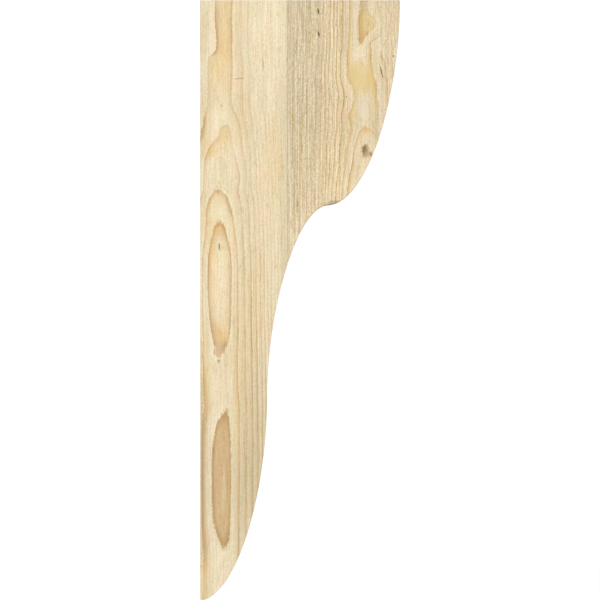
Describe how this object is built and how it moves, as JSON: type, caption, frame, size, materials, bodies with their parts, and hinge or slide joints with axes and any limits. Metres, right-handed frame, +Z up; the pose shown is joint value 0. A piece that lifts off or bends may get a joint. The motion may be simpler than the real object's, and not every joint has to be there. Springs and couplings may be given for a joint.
{
  "type": "corbel bracket",
  "caption": "Sawn softwood corbel bracket: full belly under a flat top, hollow throat, and a long tail that tapers down a flat wall face to a blunt toe.",
  "frame": {"origin": "centre of the flat wall face, at half the bracket's height and half its width", "axes": "+X straight out of the wall, +Y across the bracket's width, +Z up, towards the flat top that carries the eave or shelf"},
  "size_m": [0.2032, 0.0888, 0.6096],
  "materials": {
    "back_timber_wood": "matte",
    "front_timber_wood": "matte"
  },
  "bodies": {
    "root": {"back_timber": "back_timber_wood", "front_timber": "front_timber_wood"}
  },
  "joints": []
}
